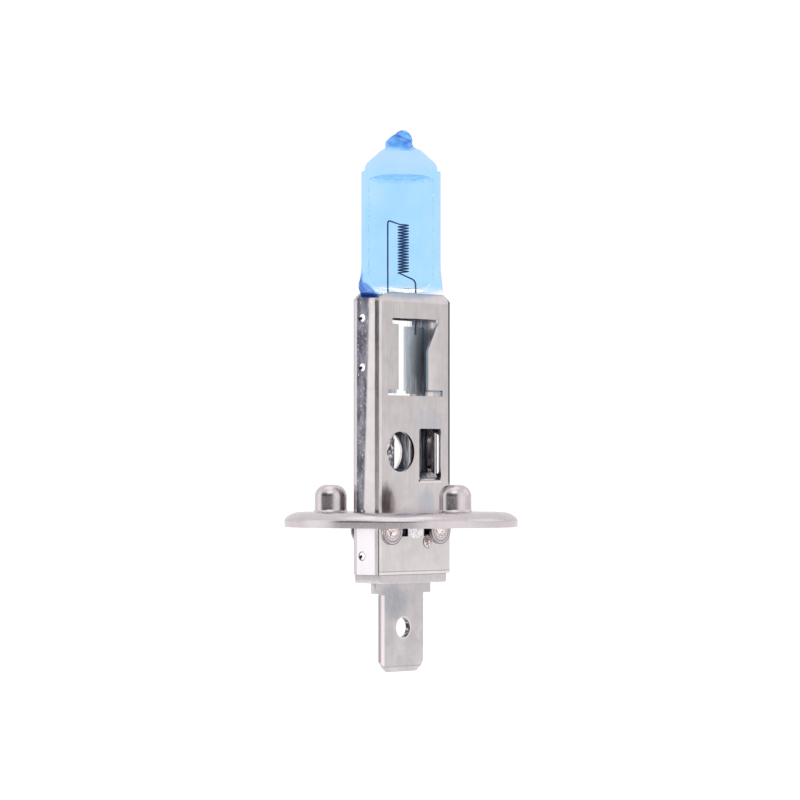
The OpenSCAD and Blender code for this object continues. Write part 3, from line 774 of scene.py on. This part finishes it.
def pinch_rings():
    """The flat pinch, with ribs down its sides and a thinner web between them."""
    rings = []
    steps = int((FLAT_Z - PINCH_BOTTOM_Z) / PINCH_ROW)
    for i in range(steps):
        z = lerp(PINCH_BOTTOM_Z, FLAT_Z, i / steps)
        web = smoothstep(WEB_Z[0], WEB_Z[0] + 0.5, z) * smoothstep(WEB_Z[1] + 0.5, WEB_Z[1] - 0.3, z)
        end = 0.3 * smoothstep(PINCH_BOTTOM_Z + 0.5, PINCH_BOTTOM_Z, z)
        rib = lerp(RIB_HALF_T, PINCH_HALF_T, smoothstep(RIB_TOP_Z - 0.6, RIB_TOP_Z, z))
        half_w = lerp(PINCH_HALF_W, FLARE_HALF_W, smoothstep(FLARE_Z, FLAT_Z, z))
        rings.append(raised(flat_ring(half_w - end, PINCH_HALF_T - end, rib - end, WEB_CUT * web), z))
    return rings


def tube_and_shoulder_rings():
    """The cup above the pinch, the tube, its softened step and the dome."""
    flat = flat_ring(FLARE_HALF_W, PINCH_HALF_T, PINCH_HALF_T, 0)
    circle = round_ring(TUBE_R)
    rings = cup_rings(flat, circle, FLAT_Z, ROUND_Z, SIDE_BLEND_Z, 26)
    rings += [blend_ring(flat, circle, smoothstep(*SIDE_BLEND_Z, z), 1, z) for z in CUP_ROWS_Z]
    rings += [raised(circle, z) for z in TUBE_ROWS_Z]
    dome_r = TUBE_R - SHOULDER_STEP
    for r, rise_z in ((TUBE_R - 0.03, -0.05), (TUBE_R - 0.12, 0.02), (dome_r + 0.08, 0.12), (dome_r, 0.18)):
        rings.append(raised(round_ring(r), SHOULDER_Z + rise_z))
    return rings + [raised(round_ring(r), z) for r, z in dome_profile(dome_r, SHOULDER_Z + 0.25, CONE_TOP_Z)[1:]]


def dome_profile(r, z, cone_end_z, steps=10):
    """Points of radius and height up the rounded shoulder and the cone."""
    rounded = [
        (r - SHOULDER_ROUND * (1 - math.cos(a)), z + SHOULDER_ROUND * math.sin(a))
        for a in (math.radians(CONE_DEG) * i / steps for i in range(steps + 1))
    ]
    arc_r, arc_z = rounded[-1]
    slope = math.tan(math.radians(CONE_DEG))
    return rounded + [
        (arc_r - (cone_end_z - arc_z) * i / steps * slope, lerp(arc_z, cone_end_z, i / steps))
        for i in range(1, steps + 1)
    ]


def gas_space_rings():
    """The gas space inside the tube, which closes to a flat end above the pinch."""
    bore = round_ring(BORE_R)
    low = flat_ring(CAVITY_FLAT[0], CAVITY_FLAT[1], CAVITY_FLAT[1], 0)
    width_z = (CAVITY_BOTTOM_Z, CAVITY_ROUND_Z - 0.1)
    rings = cup_rings(low, bore, CAVITY_BOTTOM_Z, CAVITY_ROUND_Z, width_z, 20)
    rings += [raised(bore, z) for z in BORE_ROWS_Z]
    for i in range(1, 11):
        a = math.radians(84) * i / 10
        r = BORE_R - CAVITY_ROUND * (1 - math.cos(a))
        rings.append(raised(round_ring(r), CAVITY_TOP_Z - CAVITY_ROUND * (1 - math.sin(a))))
    return rings + [raised(round_ring(r), CAVITY_TOP_Z + rise_z) for r, rise_z in CAVITY_ROOF]


# ---------------------------------------------------------------- the knob that seals the tube
# height, radius, and how far its middle leans along the fold's direction
KNOB = [
    (41.82, 2.24, 0.02), (41.95, 2.0, -0.06), (42.1, 1.82, -0.15), (42.3, 1.7, -0.25), (42.6, 1.66, -0.3),
    (42.9, 1.59, -0.24), (43.2, 1.46, -0.1), (43.45, 1.28, 0.02), (43.7, 1.06, 0.13), (43.9, 0.84, 0.2),
    (44.07, 0.6, 0.22), (44.18, 0.4, 0.22), (44.25, 0.22, 0.22), (TIP_Z, 0.06, 0.22)
]
FOLD = Vector((math.cos(math.radians(VIEW_DEG)), -math.sin(math.radians(VIEW_DEG)), 0))
FOLD_FRONT = Vector((-FOLD.y, FOLD.x, 0)) * -1
FOLD_Z = 43.3
FOLD_DROP = 0.5                 # how far the fold winds down over FOLD_TURN
FOLD_TURN = math.radians(65)


def angle_window(low, low_full, high_full, high, around):
    """1 between two full marks of angle, in degrees, fading to 0 at the outer ones."""
    opening = smoothstep(math.radians(low), math.radians(low_full), around)
    return opening * smoothstep(math.radians(high), math.radians(high_full), around)


def knob_point(x, y, z, r, lean):
    """A point of the knob, with its coat: the fold is a sharp groove with a rounded lip above it."""
    around = math.atan2(FOLD.x * x + FOLD.y * y, FOLD_FRONT.x * x + FOLD_FRONT.y * y)
    reach = angle_window(-125, -75, 105, 165, around)
    d = z - (FOLD_Z - FOLD_DROP * around / FOLD_TURN)
    ends = smoothstep(44.2, 43.9, z) * smoothstep(41.8, 42.0, z)
    groove = hump(d, 0, 0.11) * reach * ends
    lip = hump(d, 0.3, 0.2) * reach * ends
    tail = hump(d, 0, 0.16) * angle_window(70, 110, 120, 165, around) * smoothstep(42.9, 42.4, z)
    r += 0.09 * lip - 0.3 * groove + 0.45 * tail
    coat = 0.6 + 0.4 * groove + 0.3 * noise.noise(Vector((x * 1.7, y * 1.7, z * 1.6)))
    coat += 0.16 * smoothstep(0.0, -0.2, d) * smoothstep(-0.8, -0.4, d) * reach
    coat += 0.25 * hump(d, 0.62, 0.1) * reach * ends
    coat = lerp(TUBE_COAT, coat, smoothstep(41.75, 42.0, z))
    return (x * r + FOLD.x * lean, y * r + FOLD.y * lean, z), coat


def knob_rings():
    circle = round_ring(1)
    return [[knob_point(x, y, z, r, lean) for x, y in circle] for z, r, lean in smooth_rows(KNOB, 6)]


# ---------------------------------------------------------------- the blue coat
def outside_coat(x, y, z):
    """The tube's light blue ends at the cup. A deep run of it goes down the cup's left edge."""
    out = -(x * FOLD.x + y * FOLD.y)
    run_z = lerp(23.3, 25.1, smoothstep(2.3, 4.75, out)) + 2.2 * smoothstep(4.65, 5.0, out)
    side = smoothstep(-2.2, -2.9, x) * smoothstep(-2.6, -2.0, y)
    wing = side * smoothstep(run_z + 0.2, run_z - 0.1, z) * smoothstep(22.9, 23.3, z)
    body = TUBE_COAT * smoothstep(23.9, 24.8, z)
    return max(body, WING_COAT * wing)


def inside_coat(x, y, z):
    """The gas space's wall is bare. Its roof has a cloudy blue patch with a broken darker rim, a painted dark
    reflection of the roof's edge.
    """
    cloud = noise.noise(Vector((x * 0.7, y * 0.7, 3.1)))
    r = math.hypot(x, y) + 0.5 * cloud
    roof = smoothstep(3.5, 3.0, r) * smoothstep(38.3, 38.5, z)
    rim = hump(r, 3.2, 0.14) * smoothstep(38.0, 38.4, z)
    return roof * (0.3 + 0.25 * cloud) + rim * (0.2 + 0.4 * cloud)


def quartz_envelope():
    bm = bmesh.new()
    outside = [[(p, outside_coat(*p)) for p in ring] for ring in pinch_rings() + tube_and_shoulder_rings()]
    loft_coated(bm, outside + knob_rings())
    loft_coated(bm, [[(p, inside_coat(*p)) for p in ring] for ring in gas_space_rings()], flip=True)
    new_piece("quartz_bulb", bm, 60, quartz_material(), "quartz_envelope")


# ---------------------------------------------------------------- filament
def wire_rings(route, radii, sides=12):
    """Rings of a round wire along a route of points, turned as little as possible from one to the next."""
    rings = []
    side = Vector((0, 1, 0))
    for i, p in enumerate(route):
        heading = (route[min(i + 1, len(route) - 1)] - route[max(i - 1, 0)]).normalized()
        side = (side - heading * side.dot(heading)).normalized()
        other = heading.cross(side)
        rings.append([
            p + radii[i] * (math.cos(a) * side + math.sin(a) * other)
            for a in (2 * math.pi * k / sides for k in range(sides))
        ])
    return rings


def leg_bend(x, z, r, from_deg, to_deg, steps=8):
    angles = [math.radians(lerp(from_deg, to_deg, i / steps)) for i in range(steps + 1)]
    return [Vector((x + r * math.cos(t), LEG_Y, z + r * math.sin(t))) for t in angles]


def coil_points():
    """The coil from its top down. Its top leans a little towards the side that VIEW_DEG looks from."""
    middle = Vector((COIL_X, COIL_Y, (COIL_Z[0] + COIL_Z[1]) / 2))
    lean = Matrix.Rotation(math.radians(COIL_LEAN_DEG), 3, -FOLD)
    points = []
    for i in range(COIL_TURNS * POINTS_PER_TURN + 1):
        t = i / POINTS_PER_TURN
        a = math.radians(180 + 360 * t)
        z = lerp(COIL_Z[1], COIL_Z[0], t / COIL_TURNS) - middle.z
        points.append(middle + lean @ Vector((COIL_R * math.cos(a), COIL_R * math.sin(a), z)))
    return points


def filament():
    coil = coil_points()
    upper = COIL_Z[1] + 0.3
    lower = COIL_Z[0] - 0.65
    long_leg = [Vector((-LEG_X, LEG_Y, z)) for z in (LEG_FOOT_Z, 22, 26, 30)]
    long_leg += leg_bend(-LEG_X + UPPER_BEND_R, upper - UPPER_BEND_R, UPPER_BEND_R, 180, 75)
    short_leg = leg_bend(LEG_X - LOWER_BEND_R, lower - LOWER_BEND_R, LOWER_BEND_R, 75, 0)
    short_leg += [Vector((LEG_X, LEG_Y, z)) for z in (24, 22, LEG_FOOT_Z)]
    radii = [WIRE_R] * len(long_leg) + [COIL_WIRE_R] * len(coil) + [WIRE_R] * len(short_leg)
    bm = bmesh.new()
    loft(bm, wire_rings(long_leg + coil + short_leg, radii))
    new_piece("filament_wire", bm, 80, tungsten_material(), "filament")


# ---------------------------------------------------------------- ground lead
def ground_lead():
    """The round lead, crushed flat where it's welded to the front shell's wall."""
    rings = []
    for x, y, z, half_w, half_t in smooth_rows(GROUND_ROUTE, 10):
        crushed = smoothstep(0.42, 0.7, half_w)
        ring = []
        for k in range(32):
            a = 2 * math.pi * k / 32
            px = x + half_w * math.cos(a) * (1 + 0.12 * crushed * noise.noise(Vector((3, 0, z * 1.6))))
            crinkle = 0.1 * crushed * noise.noise(Vector((px * 2.2, 0, z * 1.9)))
            ring.append(Vector((px, max(LEAD_WALL_Y, y + half_t * math.sin(a) + crinkle), z)))
        rings.append(ring[::-1])
    bm = bmesh.new()
    loft(bm, rings, flip=True)
    bmesh.ops.recalc_face_normals(bm, faces=bm.faces)
    new_piece("crushed_ground_lead", bm, 50, crushed_material(), "outer_lead_ground")


# ---------------------------------------------------------------- sheet metal and other CAD pieces
def refined(node, name, material, edge, angle=38):
    """A copy of a CAD piece with its sharp edges broken by a small round."""
    bm = bmesh.new()
    bm.from_mesh(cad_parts[node].data)
    bmesh.ops.remove_doubles(bm, verts=bm.verts, dist=0.000002)
    bmesh.ops.dissolve_limit(
        bm, angle_limit=math.radians(0.6), verts=bm.verts, edges=bm.edges, use_dissolve_boundaries=False
    )
    mesh = bpy.data.meshes.new(name)
    bm.to_mesh(mesh)
    bm.free()
    for polygon in mesh.polygons:
        polygon.use_smooth = True
    mesh.materials.clear()
    mesh.materials.append(material)
    piece = new_object(name, mesh)
    rounding = piece.modifiers.new("edges", "BEVEL")
    rounding.width = edge * MM
    rounding.segments = 3
    rounding.limit_method = "ANGLE"
    rounding.angle_limit = math.radians(angle)
    weighted = piece.modifiers.new("normals", "WEIGHTED_NORMAL")
    weighted.keep_sharp = True
    weighted.weight = 90
    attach(piece, ROOT)
    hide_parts(node)


def finish_node(node, material):
    """Gives a CAD piece, whose shape is right as it is, its better material."""
    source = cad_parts[node]
    source.data.materials.clear()
    source.data.materials.append(material)


def metal_parts():
    holder = holder_material()
    refined("front_shell", "front_half_shell", holder, 0.07)
    refined("rear_shell", "rear_half_shell", holder, 0.07)
    refined("focus_flange", "flange_plate", flange_material(), 0.12)
    refined("terminal_tab", "blade_terminal", terminal_material(), 0.06, 20)
    refined("ceramic_insulator", "insulator_block", ceramic_material(), 0.1)
    wire = rolled_steel("lead_wire", (0.7, 0.68, 0.67), (0.45, 0.43, 0.43), 0.25)[0]
    weld = weld_material()
    foil = foil_material()
    for node, material in (
        ("outer_lead_live", wire), ("flange_welds", weld), ("lead_welds", weld),
        ("molybdenum_foil_live", foil), ("molybdenum_foil_ground", foil)
    ):
        finish_node(node, material)


# ---------------------------------------------------------------- studio
def grey(value):
    return (value, value, value)


def sky():
    """A pale sky with soft bright and dark panels round the horizon, for the metal to reflect."""
    world = bpy.data.worlds.new("studio")
    bpy.context.scene.world = world
    world.use_nodes = True
    tree = world.node_tree
    background = tree.nodes["Background"]
    x, y, z = axes_of(tree, tree.nodes.new("ShaderNodeTexCoord").outputs["Generated"])
    a = math.radians(VIEW_DEG)
    facing = plus(tree, product(tree, x, -math.sin(a)), product(tree, y, -math.cos(a)))
    rightward = plus(tree, product(tree, x, math.cos(a)), product(tree, y, -math.sin(a)))
    turn = map_range(tree, math_node(tree, "ARCTAN2", rightward, facing), -math.pi, math.pi, smooth=False)
    panels = ramp(tree, turn, [(place, grey(value / SKY_STRENGTH)) for place, value in PANELS])
    level = product(tree, map_range(tree, z, 0.45, 0.65, 1.0, 0.0), map_range(tree, z, -0.6, -0.4, 0.0, 1.0))
    shaded = mix_colour(tree, level, grey(SKY_PALE / SKY_STRENGTH), panels)
    # straight through the glass, and straight to the camera, it is plain white
    path = tree.nodes.new("ShaderNodeLightPath")
    through_glass = math_node(tree, "MINIMUM", path.outputs["Transmission Depth"], 1.0)
    clear = math_node(tree, "MAXIMUM", path.outputs["Is Camera Ray"], through_glass)
    tree.links.new(mix_colour(tree, clear, shaded, SKY_BEHIND_GLASS), background.inputs["Color"])
    background.inputs["Strength"].default_value = SKY_STRENGTH


def floor():
    bm = bmesh.new()
    bmesh.ops.create_grid(bm, x_segments=1, y_segments=1, size=FLOOR_HALF_M)
    mesh = bpy.data.meshes.new("floor")
    bm.to_mesh(mesh)
    bm.free()
    plane = new_object("floor", mesh)
    plane.location.z = FLOOR_Z * MM
    material, _, bsdf = new_tree("floor_white")
    bsdf.inputs["Base Color"].default_value = (*grey(0.9), 1)
    bsdf.inputs["Roughness"].default_value = 0.9
    bsdf.inputs["Emission Color"].default_value = (*grey(1), 1)
    bsdf.inputs["Emission Strength"].default_value = 0.35
    mesh.materials.append(material)


def lamps():
    for name, place, size, power in LAMPS:
        data = bpy.data.lights.new(name, "AREA")
        data.size = size
        data.energy = power
        lamp = bpy.data.objects.new(name, data)
        lamp.location = place
        lamp.rotation_mode = "QUATERNION"
        lamp.rotation_quaternion = (-Vector(place)).to_track_quat("-Z", "Y")
        lamp.visible_camera = False
        lamp.visible_transmission = False
        bpy.context.scene.collection.objects.link(lamp)


def studio():
    sky()
    floor()
    bpy.context.scene.view_settings.view_transform = "Standard"
    bpy.context.scene.view_settings.look = "None"
    lamps()


make_camera()
quartz_envelope()
filament()
ground_lead()
metal_parts()
studio()
